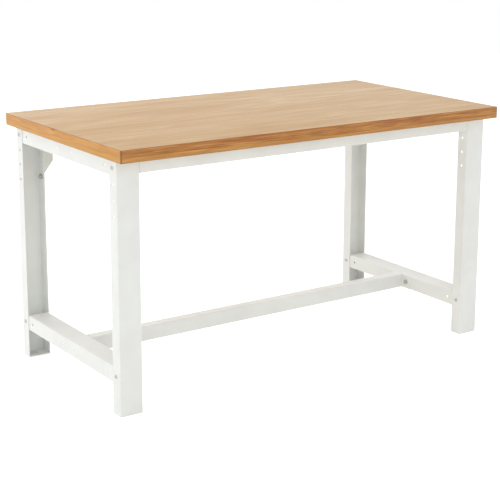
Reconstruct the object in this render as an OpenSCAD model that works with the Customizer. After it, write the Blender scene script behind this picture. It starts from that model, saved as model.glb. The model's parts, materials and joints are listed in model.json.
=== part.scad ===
// Workbench: multiplex worktop on a bolted frame of folded sheet steel.
// X runs along the length, Y from front to back, Z up. The origin is on the floor, midway.

/* [Worktop] */
// Length of the worktop
top_len = 1500; // [1000:50:2500]
// Depth of the worktop from front to back
top_depth = 800; // [500:10:1000]
// Thickness of the worktop
top_thick = 40; // [25:1:60]
// Width of the eased arris along every edge of the worktop
top_arris = 1.5; // [0.5:0.5:4]
// Wood left above the tip of each worktop screw
tip_cover = 9; // [4:1:15]
// How much deeper each pilot hole is than its screw
pilot_extra = 1; // [0.5:0.5:3]

/* [Frame] */
// Height of the working surface above the floor
bench_h = 840; // [700:10:1100]
// How far the worktop stands out past the legs at each end
end_overhang = 12; // [0:1:80]
// How far the worktop stands out past the legs at the front and the back
face_overhang = 52; // [8:1:120]

/* [Sheet steel] */
// Thickness of the sheet that every folded piece is made of
sheet = 2; // [1.5:0.25:3]
// Inside radius of every fold
bend_in = 1.5; // [0.5:0.25:3]

/* [Legs] */
// Width of a leg, seen from the front
leg_w = 78; // [60:1:110]
// Depth of a leg, seen from the end
leg_d = 45; // [40:1:80]
// Distance of the hole rows from the outer face of a leg
hole_inset = 25; // [18:1:34]
// Distance between two holes in a row
hole_pitch = 50; // [32:1:80]
// Number of holes in the row at the top of a leg
hole_count = 4; // [2:1:8]

/* [Foot plates] */
// Thickness of the plate that closes the bottom of a leg
foot_plate_t = 4; // [3:0.5:8]
// Diameter of the hole for a floor anchor
anchor_hole_d = 11; // [6:0.5:16]

/* [Rails] */
// Height of the end rails and of the foot stretcher
rail_h = 50; // [36:1:70]
// Height of the long rails under the worktop
top_rail_h = 46; // [40:1:60]
// Height of the underside of the lower rails above the floor
foot_rail_z = 100; // [60:5:300]
// Depth of the top and bottom flanges of the long rails
rail_flange = 30; // [28:1:50]
// Depth of the tabs that fix the front rail and the rear brackets to the legs
rail_tab = 40; // [36:1:60]
// Distance from a leg to the first worktop screw in a long rail
screw_inset = 225; // [120:5:300]

/* [Foot stretcher] */
// Width of the stretcher from front to back
stretcher_w = 40; // [30:1:80]
// Width of the tabs at the ends of the stretcher
stretcher_tab = 50; // [36:1:70]

/* [Rear brackets] */
// Width of a rear bracket, seen from the front
bracket_w = 52; // [50:1:120]
// How far a bracket reaches below its lowest bolt
bracket_end = 12; // [10:0.5:30]
// Height of the slanted lower corner of a bracket
bracket_rise = 58; // [20:1:90]
// Width of the level stretch between the leg and the slanted corner
bracket_toe = 6; // [5:1:20]
// Distance from a leg to the first bolt between a bracket and the rear rail
bracket_bolt_inset = 16; // [16:1:20]
// Distance between those two bolts
bracket_bolt_pitch = 24; // [22:1:28]

/* [Fasteners] */
// Thread diameter of the frame bolts and of the worktop screws
bolt_d = 8; // [5:1:10]
// How much wider than its bolt each hole is
hole_clear = 1; // [0.5:0.25:2]
// Diameter of a button head
head_d = 14; // [10:0.5:17]
// Height of a button head
head_h = 4.4; // [3:0.1:5.5]
// Height of the straight rim of a button head
head_rim = 0.8; // [0.4:0.1:1.5]
// Width across the flats of the hexagon socket
socket_af = 5; // [3:0.5:6]
// Depth of the hexagon socket
socket_depth = 2.6; // [1.5:0.1:3]
// Width across the flats of nuts and hexagon heads
nut_af = 13; // [10:0.5:15]
// Height of a nut with its flange
nut_h = 8; // [5:0.5:10]
// Diameter of the flange of a nut
nut_flange_d = 17.9; // [16:0.1:21]
// Thickness of the flange of a nut
nut_flange_t = 1.8; // [1:0.1:3]
// Length of the bolts that pass through two sheets
short_bolt = 16; // [12:1:20]
// Length of the bolts that pass through three sheets, or through two and a washer
long_bolt = 20; // [16:1:24]
// Height of a hexagon head
hex_head_h = 5.3; // [3:0.1:7]
// Diameter of the washers under the worktop screws
screw_washer_d = 22; // [16:0.5:24]
// Thickness of the washers under the worktop screws
screw_washer_t = 2; // [1:0.1:3]
// Length of the pointed tip of a worktop screw
screw_tip = 8; // [4:0.5:12]
// Diameter of that tip at its point
screw_point_d = 1; // [0.5:0.1:2]
// Diameter of the washers under the stretcher bolts
washer_d = 16; // [14:0.5:22]
// Thickness of the washers under the stretcher bolts
washer_t = 1.6; // [1:0.1:3]
// How much wider than its thread the hole of a washer is
washer_clear = 0.5; // [0.3:0.1:1]

/* [Clearances] */
// Gap on each side of an end rail inside a leg, and at each end of the stretcher's top
slip_gap = 0.3; // [0.1:0.05:0.6]
// Gap between an end rail and the front or back of a leg, and between its top face and the leg's edges
end_gap = 0.8; // [0.3:0.1:1.5]
// Gap between each end of the rear rail and the leg beside it
rear_gap = 0.2; // [0.1:0.05:0.6]
// Gap around a welded foot plate
weld_gap = 0.2; // [0.1:0.05:0.5]
// Gap between a thread and the hole it is screwed into
thread_gap = 0.1; // [0.05:0.05:0.2]

/* [Hidden] */
$fn = 48;
cut = 1;
bend_out = bend_in + sheet;
hole_d = bolt_d + hole_clear;

// Overall places of the frame
frame_top = bench_h - top_thick;
frame_x = top_len / 2 - end_overhang;
frame_y = top_depth / 2 - face_overhang;
leg_in_x = frame_x - leg_w;
leg_mid_x = frame_x - leg_w / 2;

// Hole rows
top_row_z = frame_top - rail_h / 2;
foot_row_z = foot_rail_z + rail_h / 2;
last_row_z = top_row_z - (hole_count - 1) * hole_pitch;
row_y = frame_y - hole_inset;
spare_y = row_y - hole_pitch;

// End rails inside the legs
end_rail_w = leg_w - 2 * sheet - 2 * slip_gap;
end_rail_len = 2 * (frame_y - sheet - end_gap);
end_rail_in_x = leg_mid_x - end_rail_w / 2;
end_rail_top_y = frame_y - leg_d - end_gap;
lower_top_z = foot_rail_z + rail_h;

// Long rails and brackets
tab_h = top_rail_h - 2 * bend_out;
web_in_y = frame_y - sheet;
flange_screw_y = web_in_y - (rail_flange - sheet) / 2;
long_screw_x = leg_in_x - screw_inset;
bracket_bottom_z = last_row_z - bracket_end;
bracket_top_z = frame_top - bend_out;
bracket_bolt_x = leg_in_x - bracket_bolt_inset;

// Foot stretcher
stretcher_bolt_y = (stretcher_w + stretcher_tab) / 2;

// What the bolts clamp, and the length of the worktop screws
double_wall = 2 * sheet + slip_gap;
triple_wall = 3 * sheet + slip_gap;
folded_pair = 2 * sheet;
screw_bite = top_thick - tip_cover;
screw_len = screw_washer_t + sheet + screw_bite;

paint_grey = [0.92, 0.93, 0.91];
board_tan = [0.85, 0.68, 0.45];
zinc = [0.72, 0.73, 0.74];

// Rectangle with its two corners at y = 0 rounded
module round_back(w, d, r) {
    translate([0, r])
        square([w, d - r]);
    translate([r, 0])
        square([w - 2 * r, r]);
    for (x = [r, w - r])
        translate([x, r])
            circle(r);
}

// Section of a folded channel, open towards +y
module channel_profile(w, d) {
    difference() {
        round_back(w, d, bend_out);
        translate([sheet, sheet])
            round_back(w - 2 * sheet, d, bend_in);
    }
}

// Section of a folded angle with its outer corner at the origin
module angle_profile(a, b) {
    translate([bend_out, 0])
        square([a - bend_out, sheet]);
    translate([0, bend_out])
        square([sheet, b - bend_out]);
    difference() {
        intersection() {
            translate([bend_out, bend_out])
                circle(bend_out);
            square(bend_out);
        }
        translate([bend_out, bend_out])
            circle(bend_in);
    }
}

// Round hole along X, from x to x + length
module hole_x(x, y, z, length, d = hole_d) {
    translate([x, y, z])
        rotate([0, 90, 0])
            cylinder(d = d, h = length);
}

// Round hole along Y, from y to y + length
module hole_y(x, y, z, length) {
    translate([x, y, z])
        rotate([-90, 0, 0])
            cylinder(d = hole_d, h = length);
}

// Round hole along Z, from z to z + length
module hole_z(x, y, z, length, d = hole_d) {
    translate([x, y, z])
        cylinder(d = d, h = length);
}

// Places of the screws that hold the worktop: in the end rails, then in the long rails
function screw_places() = concat(
    [for (sx = [-1, 1], sy = [-1, 1]) [sx * leg_mid_x, sy * spare_y]],
    [for (sx = [-1, 0, 1], sy = [-1, 1]) [sx * long_screw_x, sy * flange_screw_y]]);

// Worktop with eased edges and a pilot hole for each screw
module worktop() {
    half = [top_len / 2, top_depth / 2];
    side = top_arris * sqrt(2);
    color(board_tan)
        difference() {
            translate([-half[0], -half[1], frame_top])
                cube([top_len, top_depth, top_thick]);
            for (z = [frame_top, bench_h]) {
                for (y = [-half[1], half[1]])
                    translate([0, y, z])
                        rotate([45, 0, 0])
                            cube([top_len + 2 * cut, side, side], center = true);
                for (x = [-half[0], half[0]])
                    translate([x, 0, z])
                        rotate([0, 45, 0])
                            cube([side, top_depth + 2 * cut, side], center = true);
            }
            for (x = [-half[0], half[0]], y = [-half[1], half[1]])
                translate([x, y, bench_h])
                    rotate([0, 0, 45])
                        cube([side, side, 2 * top_thick + 2 * cut], center = true);
            for (p = screw_places())
                hole_z(p[0], p[1], frame_top - cut, cut + screw_bite + pilot_extra,
                       bolt_d + 2 * thread_gap);
        }
}

// Front left leg: a channel with its back to the front and holes in both flanges
module leg() {
    rows = [for (i = [0 : hole_count - 1]) top_row_z - i * hole_pitch];
    color(paint_grey)
        difference() {
            translate([-frame_x, -frame_y, 0])
                linear_extrude(frame_top)
                    channel_profile(leg_w, leg_d);
            for (z = concat(rows, [foot_row_z]))
                hole_x(-frame_x - cut, -row_y, z, leg_w + 2 * cut);
        }
}

// Plate welded into the bottom of the front left leg
module foot_plate() {
    w = leg_w - 2 * sheet - 2 * weld_gap;
    d = leg_d - sheet - weld_gap;
    color(paint_grey)
        difference() {
            translate([-leg_mid_x - w / 2, -frame_y + sheet + weld_gap, 0])
                linear_extrude(foot_plate_t)
                    round_back(w, d, bend_in);
            hole_z(-leg_mid_x, -frame_y + (leg_d + sheet) / 2, -cut, foot_plate_t + 2 * cut, anchor_hole_d);
        }
}

// Left end rail with its top face at the height z, cut back where the rail enters the legs
module end_rail(z) {
    x = -leg_mid_x - end_rail_w / 2;
    color(paint_grey)
        difference() {
            translate([x, -end_rail_len / 2, z])
                rotate([-90, 0, 0])
                    linear_extrude(end_rail_len)
                        channel_profile(end_rail_w, rail_h);
            for (y = [row_y, spare_y, stretcher_bolt_y], side = [-1, 1])
                hole_x(x - cut, side * y, z - rail_h / 2, end_rail_w + 2 * cut);
            for (side = [-1, 1])
                hole_z(-leg_mid_x, side * spare_y, z - sheet - cut, sheet + 2 * cut);
            for (side = [0, 1])
                mirror([0, side, 0])
                    translate([x - cut, end_rail_top_y, z - bend_out])
                        cube([end_rail_w + 2 * cut, end_rail_len / 2, bend_out + cut]);
        }
}

// Channel of a long top rail in the front position, open to the back
module long_rail_channel(length) {
    translate([length / 2, -frame_y, frame_top - top_rail_h])
        rotate([0, -90, 0])
            linear_extrude(length)
                channel_profile(top_rail_h, rail_flange);
}

// Holes for the worktop screws in the front rail's top flange
module long_rail_screw_holes() {
    for (side = [-1, 0, 1])
        hole_z(side * long_screw_x, -flange_screw_y, frame_top - sheet - cut, sheet + 2 * cut);
}

// Front top rail: a channel between the legs with a folded tab at each end
module front_top_rail() {
    lap = 2 * bend_out;
    color(paint_grey)
        difference() {
            union() {
                long_rail_channel(2 * (leg_in_x - bend_out));
                for (side = [0, 1])
                    mirror([side, 0, 0])
                        translate([-leg_in_x, -frame_y, frame_top - bend_out - tab_h])
                            linear_extrude(tab_h)
                                angle_profile(lap, rail_tab);
            }
            long_rail_screw_holes();
            for (side = [0, 1])
                mirror([side, 0, 0])
                    hole_x(-leg_in_x - cut, -row_y, top_row_z, sheet + 2 * cut);
        }
}

// Rear top rail: its bottom flange stops short of the brackets
module rear_top_rail() {
    notch = bracket_w + sheet;
    color(paint_grey)
        mirror([0, 1, 0])
            difference() {
                long_rail_channel(2 * (leg_in_x - rear_gap));
                long_rail_screw_holes();
                for (side = [0, 1])
                    mirror([side, 0, 0]) {
                        translate([-leg_in_x - cut, -web_in_y, frame_top - top_rail_h - cut])
                            cube([notch + cut, rail_flange, bend_out + cut]);
                        for (i = [0, 1])
                            hole_y(-bracket_bolt_x + i * bracket_bolt_pitch, -frame_y - cut, top_row_z,
                                   sheet + 2 * cut);
                    }
            }
}

// Rear left bracket: an angle with a slanted lower corner, bolted to the leg and the rear rail
module rear_bracket() {
    height = bracket_top_z - bracket_bottom_z;
    color(paint_grey)
        difference() {
            translate([-leg_in_x, web_in_y, bracket_bottom_z])
                mirror([0, 1, 0])
                    linear_extrude(height)
                        angle_profile(bracket_w, rail_tab);
            translate([-leg_in_x, web_in_y + cut, bracket_bottom_z])
                rotate([90, 0, 0])
                    linear_extrude(sheet + 2 * cut)
                        polygon([[bracket_toe, -cut], [bracket_toe, 0], [bracket_w, bracket_rise],
                                 [bracket_w + cut, bracket_rise], [bracket_w + cut, -cut]]);
            for (z = [top_row_z, last_row_z])
                hole_x(-leg_in_x - cut, row_y, z, sheet + 2 * cut);
            for (i = [0, 1])
                hole_y(-bracket_bolt_x + i * bracket_bolt_pitch, web_in_y - sheet - cut, top_row_z,
                       sheet + 2 * cut);
        }
}

// Foot stretcher: a channel open downwards, its top running on to the rails between two tabs
module foot_stretcher() {
    body_len = 2 * (end_rail_in_x - bend_out);
    top_run = end_rail_in_x - slip_gap;
    lap = 2 * bend_out;
    color(paint_grey)
        difference() {
            union() {
                translate([-body_len / 2, 0, lower_top_z])
                    rotate([0, 0, -90])
                        rotate([-90, 0, 0])
                            linear_extrude(body_len)
                                translate([-stretcher_w / 2, 0])
                                    channel_profile(stretcher_w, rail_h);
                translate([-top_run, -stretcher_w / 2 + bend_out, lower_top_z - sheet])
                    cube([2 * top_run, stretcher_w - 2 * bend_out, sheet]);
                for (sx = [0, 1], sy = [0, 1])
                    mirror([sx, 0, 0])
                        mirror([0, sy, 0])
                            translate([-end_rail_in_x, -stretcher_w / 2 + sheet, foot_rail_z])
                                mirror([0, 1, 0])
                                    linear_extrude(rail_h - bend_out)
                                        angle_profile(lap, stretcher_tab + sheet);
            }
            for (sx = [0, 1], sy = [0, 1])
                mirror([sx, 0, 0])
                    mirror([0, sy, 0])
                        hole_x(-end_rail_in_x - cut, -stretcher_bolt_y, foot_row_z, sheet + 2 * cut);
        }
}

// Turns its children so that their +Z points along +X or -X
module facing_x(side) {
    rotate([0, 90 * side, 0])
        children();
}

// Bolt with a domed head, its seat at z = 0 and its head upwards
module button_bolt(length) {
    dome_h = head_h - head_rim;
    dome_r = (head_d * head_d / 4 + dome_h * dome_h) / (2 * dome_h);
    color(zinc)
        difference() {
            union() {
                translate([0, 0, -length])
                    cylinder(d = bolt_d, h = length);
                intersection() {
                    cylinder(d = head_d, h = head_h);
                    translate([0, 0, head_h - dome_r])
                        sphere(dome_r);
                }
            }
            translate([0, 0, head_h - socket_depth])
                cylinder(d = socket_af / cos(30), h = socket_depth + cut, $fn = 6);
        }
}

// Bolt with a hexagon head, its seat at z = 0 and its head upwards
module hex_bolt(length) {
    color(zinc)
        union() {
            translate([0, 0, -length])
                cylinder(d = bolt_d, h = length);
            cylinder(d = nut_af / cos(30), h = hex_head_h, $fn = 6);
        }
}

// Nut with a flange, which bears on what is above it at z = 0
module flange_nut() {
    color(zinc)
        difference() {
            union() {
                translate([0, 0, -nut_h])
                    cylinder(d = nut_af / cos(30), h = nut_h, $fn = 6);
                translate([0, 0, -nut_flange_t])
                    cylinder(d = nut_flange_d, h = nut_flange_t);
            }
            translate([0, 0, -nut_h - cut])
                cylinder(d = bolt_d + 2 * thread_gap, h = nut_h + 2 * cut);
        }
}

// Flat washer from z = 0 upwards
module flat_washer(d, t) {
    color(zinc)
        difference() {
            cylinder(d = d, h = t);
            translate([0, 0, -cut])
                cylinder(d = bolt_d + washer_clear, h = t + 2 * cut);
        }
}

// Wood screw with a hexagon head below z = 0 and its point upwards
module worktop_screw() {
    color(zinc)
        union() {
            translate([0, 0, -hex_head_h])
                cylinder(d = nut_af / cos(30), h = hex_head_h, $fn = 6);
            cylinder(d = bolt_d, h = screw_len - screw_tip);
            translate([0, 0, screw_len - screw_tip])
                cylinder(d1 = bolt_d, d2 = screw_point_d, h = screw_tip);
        }
}

// Puts its children at each joint between a leg and an end rail alone, seat at the leg's face
module at_end_rail_joints() {
    for (sx = [-1, 1], sy = [-1, 1]) {
        for (z = [top_row_z, foot_row_z])
            translate([sx * frame_x, sy * row_y, z])
                facing_x(sx)
                    children();
        translate([sx * leg_in_x, sy * row_y, foot_row_z])
            facing_x(-sx)
                children();
    }
}

// Puts its children where a top rail or a bracket, a leg and an end rail share one bolt
module at_top_rail_joints() {
    for (sx = [-1, 1], sy = [-1, 1])
        translate([sx * (leg_in_x - sheet), sy * row_y, top_row_z])
            facing_x(-sx)
                children();
}

// Puts its children at the lower bolts of the brackets and at their bolts to the rear rail
module at_bracket_joints() {
    for (sx = [-1, 1]) {
        translate([sx * (leg_in_x - sheet), row_y, last_row_z])
            facing_x(-sx)
                children();
        for (i = [0, 1])
            translate([sx * (bracket_bolt_x - i * bracket_bolt_pitch), frame_y, top_row_z])
                rotate([-90, 0, 0])
                    children();
    }
}

// Puts its children at the joints between the stretcher and the lower end rails
module at_stretcher_joints() {
    for (sx = [-1, 1], sy = [-1, 1])
        translate([sx * (end_rail_in_x - sheet), sy * stretcher_bolt_y, foot_row_z])
            facing_x(-sx)
                children();
}

// Puts its children under the sheet at each worktop screw
module at_worktop_screws() {
    for (p = screw_places())
        translate([p[0], p[1], frame_top - sheet - screw_washer_t])
            children();
}

module end_rail_bolts() {
    at_end_rail_joints()
        button_bolt(short_bolt);
}

module end_rail_nuts() {
    at_end_rail_joints()
        translate([0, 0, -double_wall])
            flange_nut();
}

module top_rail_bolts() {
    at_top_rail_joints()
        button_bolt(long_bolt);
}

module top_rail_nuts() {
    at_top_rail_joints()
        translate([0, 0, -triple_wall])
            flange_nut();
}

module bracket_bolts() {
    at_bracket_joints()
        button_bolt(short_bolt);
}

module bracket_nuts() {
    at_bracket_joints()
        translate([0, 0, -folded_pair])
            flange_nut();
}

module stretcher_bolts() {
    at_stretcher_joints()
        translate([0, 0, washer_t])
            hex_bolt(long_bolt);
}

module stretcher_washers() {
    at_stretcher_joints()
        flat_washer(washer_d, washer_t);
}

module stretcher_nuts() {
    at_stretcher_joints()
        translate([0, 0, -folded_pair])
            flange_nut();
}

module worktop_screws() {
    at_worktop_screws()
        worktop_screw();
}

module worktop_washers() {
    at_worktop_screws()
        flat_washer(screw_washer_d, screw_washer_t);
}

// Mirrors its children from the left to the right
module to_right() {
    mirror([1, 0, 0])
        children();
}

// Mirrors its children from the front to the back
module to_rear() {
    mirror([0, 1, 0])
        children();
}

worktop();
leg();  // front_left_leg
to_right() leg();  // front_right_leg
to_rear() leg();  // rear_left_leg
to_rear() to_right() leg();  // rear_right_leg
foot_plate();  // front_left_foot_plate
to_right() foot_plate();  // front_right_foot_plate
to_rear() foot_plate();  // rear_left_foot_plate
to_rear() to_right() foot_plate();  // rear_right_foot_plate
end_rail(frame_top);  // left_upper_end_rail
to_right() end_rail(frame_top);  // right_upper_end_rail
end_rail(lower_top_z);  // left_lower_end_rail
to_right() end_rail(lower_top_z);  // right_lower_end_rail
front_top_rail();
rear_top_rail();
rear_bracket();  // rear_left_bracket
to_right() rear_bracket();  // rear_right_bracket
foot_stretcher();
end_rail_bolts();
end_rail_nuts();
top_rail_bolts();
top_rail_nuts();
bracket_bolts();
bracket_nuts();
stretcher_bolts();
stretcher_washers();
stretcher_nuts();
worktop_screws();
worktop_washers();
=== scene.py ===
"""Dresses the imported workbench: worktop, sheet-steel frame, fasteners, welds, studio and camera."""

import json
import logging
import math
from collections.abc import Callable, Sequence
from dataclasses import dataclass
from enum import Enum
from functools import cache, cached_property, partial
from typing import ClassVar

import bmesh
import bpy
from bmesh.types import BMesh, BMVert
from bpy.types import Material, Mesh, Node, NodeOutputs, NodeSocket, NodeTree, Object
from mathutils import Matrix, Vector


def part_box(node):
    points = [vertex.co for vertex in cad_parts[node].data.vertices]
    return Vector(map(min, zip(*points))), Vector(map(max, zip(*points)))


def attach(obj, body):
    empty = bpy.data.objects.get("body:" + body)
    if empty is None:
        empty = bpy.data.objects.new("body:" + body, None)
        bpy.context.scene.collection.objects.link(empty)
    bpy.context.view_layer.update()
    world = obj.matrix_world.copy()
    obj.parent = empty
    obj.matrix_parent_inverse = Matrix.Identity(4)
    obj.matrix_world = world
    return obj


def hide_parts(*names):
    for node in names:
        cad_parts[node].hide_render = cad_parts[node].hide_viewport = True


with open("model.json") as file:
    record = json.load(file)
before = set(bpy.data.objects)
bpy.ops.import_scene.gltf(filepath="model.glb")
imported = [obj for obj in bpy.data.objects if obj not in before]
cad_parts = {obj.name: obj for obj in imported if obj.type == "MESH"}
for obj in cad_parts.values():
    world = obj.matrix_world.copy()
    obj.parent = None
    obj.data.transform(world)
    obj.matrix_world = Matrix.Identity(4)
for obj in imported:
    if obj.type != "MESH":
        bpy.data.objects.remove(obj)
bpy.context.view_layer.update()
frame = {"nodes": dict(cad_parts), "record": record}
BOARD_LOW, BOARD_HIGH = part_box("worktop")
BOARD_HEIGHT = BOARD_HIGH.z - BOARD_LOW.z

LOG = logging.getLogger("workbench")
BOARD_SLOT = "multiplex_board"
STEEL_SLOT = "powder_coated_steel"
ZINC_SLOT = "zinc_plated_steel"
MM = 0.001
PLIES = 13
EDGE_FINISH, LOWER_FINISH = 1, 2
WHITE = (1.0, 1.0, 1.0, 1.0)
PHOTO_PIXELS = 500
SENSOR_MM = 36.0
MATH = "ShaderNodeMath"
VECTOR_MATH = "ShaderNodeVectorMath"
RANGE = "ShaderNodeMapRange"
SPLIT = "ShaderNodeSeparateXYZ"

Pair = tuple[float, float]
Triple = tuple[float, float, float]
Colour = tuple[float, float, float, float]
Size = float | Callable[[float], float]
Rings = list[tuple[Size, Size]]
Inputs = dict[str | int, object] | Sequence[object]
Adder = Callable[..., NodeOutputs]


def linear(code: str) -> Colour:
    """Turns an sRGB hex code into a linear colour.

    Args:
        code: Colour such as "#d6b689".

    Returns:
        Red, green, blue and an alpha of 1.
    """
    parts = [int(code[i : i + 2], 16) / 255 for i in (1, 3, 5)]
    red, green, blue = (p / 12.92 if p <= 0.04045 else ((p + 0.055) / 1.055) ** 2.4 for p in parts)
    return red, green, blue, 1.0


def feed(node: Node, inputs: Inputs) -> None:
    """Gives a node its values and links.

    Args:
        node: The node.
        inputs: Value of each socket, or the output that feeds it. A sequence fills the sockets in
            order, and a dictionary names or numbers them.
    """
    for socket, value in inputs.items() if isinstance(inputs, dict) else enumerate(inputs):
        if isinstance(value, NodeSocket):
            node.id_data.links.new(value, node.inputs[socket])
        else:
            node.inputs[socket].default_value = value


def add_node(
    tree: NodeTree, kind: str, inputs: Inputs = (), operation: str = "", **settings: object
) -> NodeOutputs:
    """Adds a node to a tree with its settings, values and links.

    Args:
        tree: Tree that gets the node.
        kind: Type of the node.
        inputs: Values and links of its sockets.
        operation: What the node works out, where its type can do several things.
        **settings: Its other properties.

    Returns:
        The outputs of the new node.
    """
    node = tree.nodes.new(kind)
    if operation:
        node.operation = operation
    for name, value in settings.items():
        setattr(node, name, value)
    feed(node, inputs)
    return node.outputs


def seen_rays(tree: NodeTree) -> NodeSocket:
    """Adds a switch that is 1 for what the eye, a reflection or glass sees, and 0 for light.

    Args:
        tree: Tree that gets the switch.

    Returns:
        The output with the switch.
    """
    rays = add_node(tree, "ShaderNodeLightPath")
    seen = rays["Is Camera Ray"]
    for other in ("Is Glossy Ray", "Is Transmission Ray"):
        seen = add_node(tree, MATH, (seen, rays[other]), "MAXIMUM")[0]
    return seen


@dataclass(frozen=True)
class Patches:
    """Soft random patches of a real size.

    Attributes:
        size_mm: Length of one patch along X, Y and Z.
        edges: Noise values that become 0 and 1. A pair close together gives hard-edged patches.
        detail: How many finer layers the noise has.
    """

    size_mm: Triple
    edges: Pair
    detail: float = 2.0


@dataclass(frozen=True)
class Tint:
    """A colour laid over another one, and how strongly it covers it, from 0 to 1."""

    code: str
    share: float = 1.0


class Surface:
    """A node material while a finish is drawn on it. Its colour holds all tints so far."""

    def __init__(self, name: str, ground: str) -> None:
        """Starts the material.

        Args:
            name: Name of the material.
            ground: Colour under all tints.
        """
        self.material = bpy.data.materials.new(name)
        self.material.use_nodes = True
        self.tree = self.material.node_tree
        self.add = partial(add_node, self.tree)
        self.shader = self.tree.nodes["Principled BSDF"]
        self.colour: object = linear(ground)

    @cached_property
    def place(self) -> NodeSocket:
        """Output with the Object coordinates, in metres."""
        return self.add("ShaderNodeTexCoord")["Object"]

    def drawn(self, pattern: Patches) -> NodeSocket:
        """Draws patches.

        Args:
            pattern: Their sizes.

        Returns:
            The output with the pattern, from 0 to 1.
        """
        scale = [1 / (s * MM) for s in pattern.size_mm]
        mapped = self.add("ShaderNodeMapping", {"Vector": self.place, "Scale": scale})[0]
        sizes = {"Vector": mapped, "Scale": 1.0, "Detail": pattern.detail}
        noise = self.add("ShaderNodeTexNoise", sizes)[0]
        return self.add(RANGE, (noise, *pattern.edges))[0]

    def lay(self, tint: Tint, mask: NodeSocket | Patches) -> None:
        """Lays a tint over the colour so far.

        Args:
            tint: The tint.
            mask: Where it lies: patches, or an output from 0 to 1.
        """
        mask = self.drawn(mask) if isinstance(mask, Patches) else mask
        share = self.add(MATH, (mask, tint.share), "MULTIPLY")[0]
        # Sockets 6 and 7 take colours
        blend = {0: share, 6: self.colour, 7: linear(tint.code)}
        self.colour = self.add("ShaderNodeMix", blend, data_type="RGBA")[2]


@dataclass(frozen=True)
class Finish:
    """A surface finish.

    Attributes:
        name: Name of the material.
        ground: Colour under all tints.
        roughness: Least roughness, and how much a gloss mask of 1 adds to it.
        relief_mm: Height of the relief.
    """

    name: str
    ground: str
    roughness: Pair
    relief_mm: float

    def material(self) -> Material:
        """Draws the finish. Each kind of finish has its own."""
        raise NotImplementedError

    def finished(self, surface: Surface, gloss: NodeSocket, height: NodeSocket) -> Material:
        """Feeds the shader with the colour, the roughness and the relief.

        Args:
            surface: Surface with all its tints.
            gloss: Output with the gloss mask, from 0 to 1.
            height: Output with the relief, from 0 to 1.

        Returns:
            The material.
        """
        least, more = self.roughness
        rough = surface.add(MATH, (gloss, more, least), "MULTIPLY_ADD")[0]
        bump = {"Height": height, "Strength": 1.0, "Distance": self.relief_mm * MM}
        normal = surface.add("ShaderNodeBump", bump)[0]
        looks = {"Base Color": surface.colour, "Roughness": rough, "Normal": normal}
        feed(surface.shader, looks)
        return surface.material


@dataclass(frozen=True)
class PowderCoat(Finish):
    """Polyester powder coat on sheet steel, baked to an even satin film.

    It gives the eye a soft pale grey with broad, blurred highlights and a faint orange peel.
    """

    name: str = "powder_coat_light_grey"
    ground: str = "#eff1ee"
    roughness: Pair = (0.3, 0.06)
    relief_mm: float = 0.012
    thin: Tint = Tint("#ebece9")
    clouds: Patches = Patches((90, 90, 90), (0.35, 0.65))
    peel: Patches = Patches((2.2, 2.2, 2.2), (0.3, 0.7), 1.0)

    def material(self) -> Material:
        """Draws the powder coat.

        Returns:
            The material.
        """
        surface = Surface(self.name, self.ground)
        surface.lay(self.thin, self.clouds)
        peel = surface.drawn(self.peel)
        return self.finished(surface, peel, peel)


@dataclass(frozen=True)
class ZincPlate(Finish):
    """Bright zinc plating on rolled steel fasteners, passivated.

    It gives the eye a cool grey metal with a slightly cloudy shine and a faint yellow cast.
    """

    name: str = "zinc_plate_bright"
    ground: str = "#b9bcbe"
    roughness: Pair = (0.28, 0.12)
    relief_mm: float = 0.01
    cast: Tint = Tint("#bfbcae")
    clouds: Patches = Patches((5, 5, 5), (0.4, 0.6))
    grain: Patches = Patches((0.8, 0.8, 0.8), (0.3, 0.7))

    def material(self) -> Material:
        """Draws the plating.

        Returns:
            The material.
        """
        surface = Surface(self.name, self.ground)
        feed(surface.shader, {"Metallic": 1.0})
        clouds = surface.drawn(self.clouds)
        surface.lay(self.cast, clouds)
        return self.finished(surface, clouds, surface.drawn(self.grain))


@dataclass(frozen=True)
class BeechVeneer(Finish):
    """Rotary-cut beech face veneer, sanded and oiled, its grain along the board.

    It gives the eye a light tan ground with faint nested growth figures, soft streaks and short
    darker ray flecks.
    """

    name: str = "beech_veneer_oiled"
    ground: str = "#caa262"
    roughness: Pair = (0.36, 0.1)
    relief_mm: float = 0.03
    pale: Tint = Tint("#dcbb88")
    figure: Tint = Tint("#b07f4b", 0.32)
    streak: Tint = Tint("#b48552", 0.45)
    fibre: Tint = Tint("#b48552", 0.3)
    fleck: Tint = Tint("#a07244", 0.45)
    bands: Patches = Patches((620, 130, 60), (0.35, 0.65), 1.0)
    growth: Patches = Patches((560, 75, 60), (0.0, 1.0))
    rings: float = 6.0
    streaks: Patches = Patches((260, 11, 40), (0.42, 0.72), 4.0)
    # Real beech fibres are about 0.1 mm wide. They are drawn 3 mm wide, so that they show.
    fibres: Patches = Patches((120, 3, 20), (0.3, 0.7), 3.0)
    # Real ray flecks are about 2 mm long and 0.4 mm wide. They are drawn 5 times as large.
    flecks: Patches = Patches((11, 2, 20), (0.66, 0.72), 0.0)

    def material(self) -> Material:
        """Draws the veneer.

        Returns:
            The material.
        """
        surface = Surface(self.name, self.ground)
        add = surface.add
        turns = add(MATH, (surface.drawn(self.growth), self.rings * math.tau), "MULTIPLY")[0]
        waves = add(MATH, (turns,), "SINE")[0]
        rings = add(MATH, (waves, 0.5, 0.5), "MULTIPLY_ADD")[0]
        streaks, fibres = surface.drawn(self.streaks), surface.drawn(self.fibres)
        surface.lay(self.pale, self.bands)
        surface.lay(self.figure, rings)
        surface.lay(self.streak, streaks)
        surface.lay(self.fibre, fibres)
        surface.lay(self.fleck, self.flecks)
        return self.finished(surface, streaks, fibres)


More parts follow.
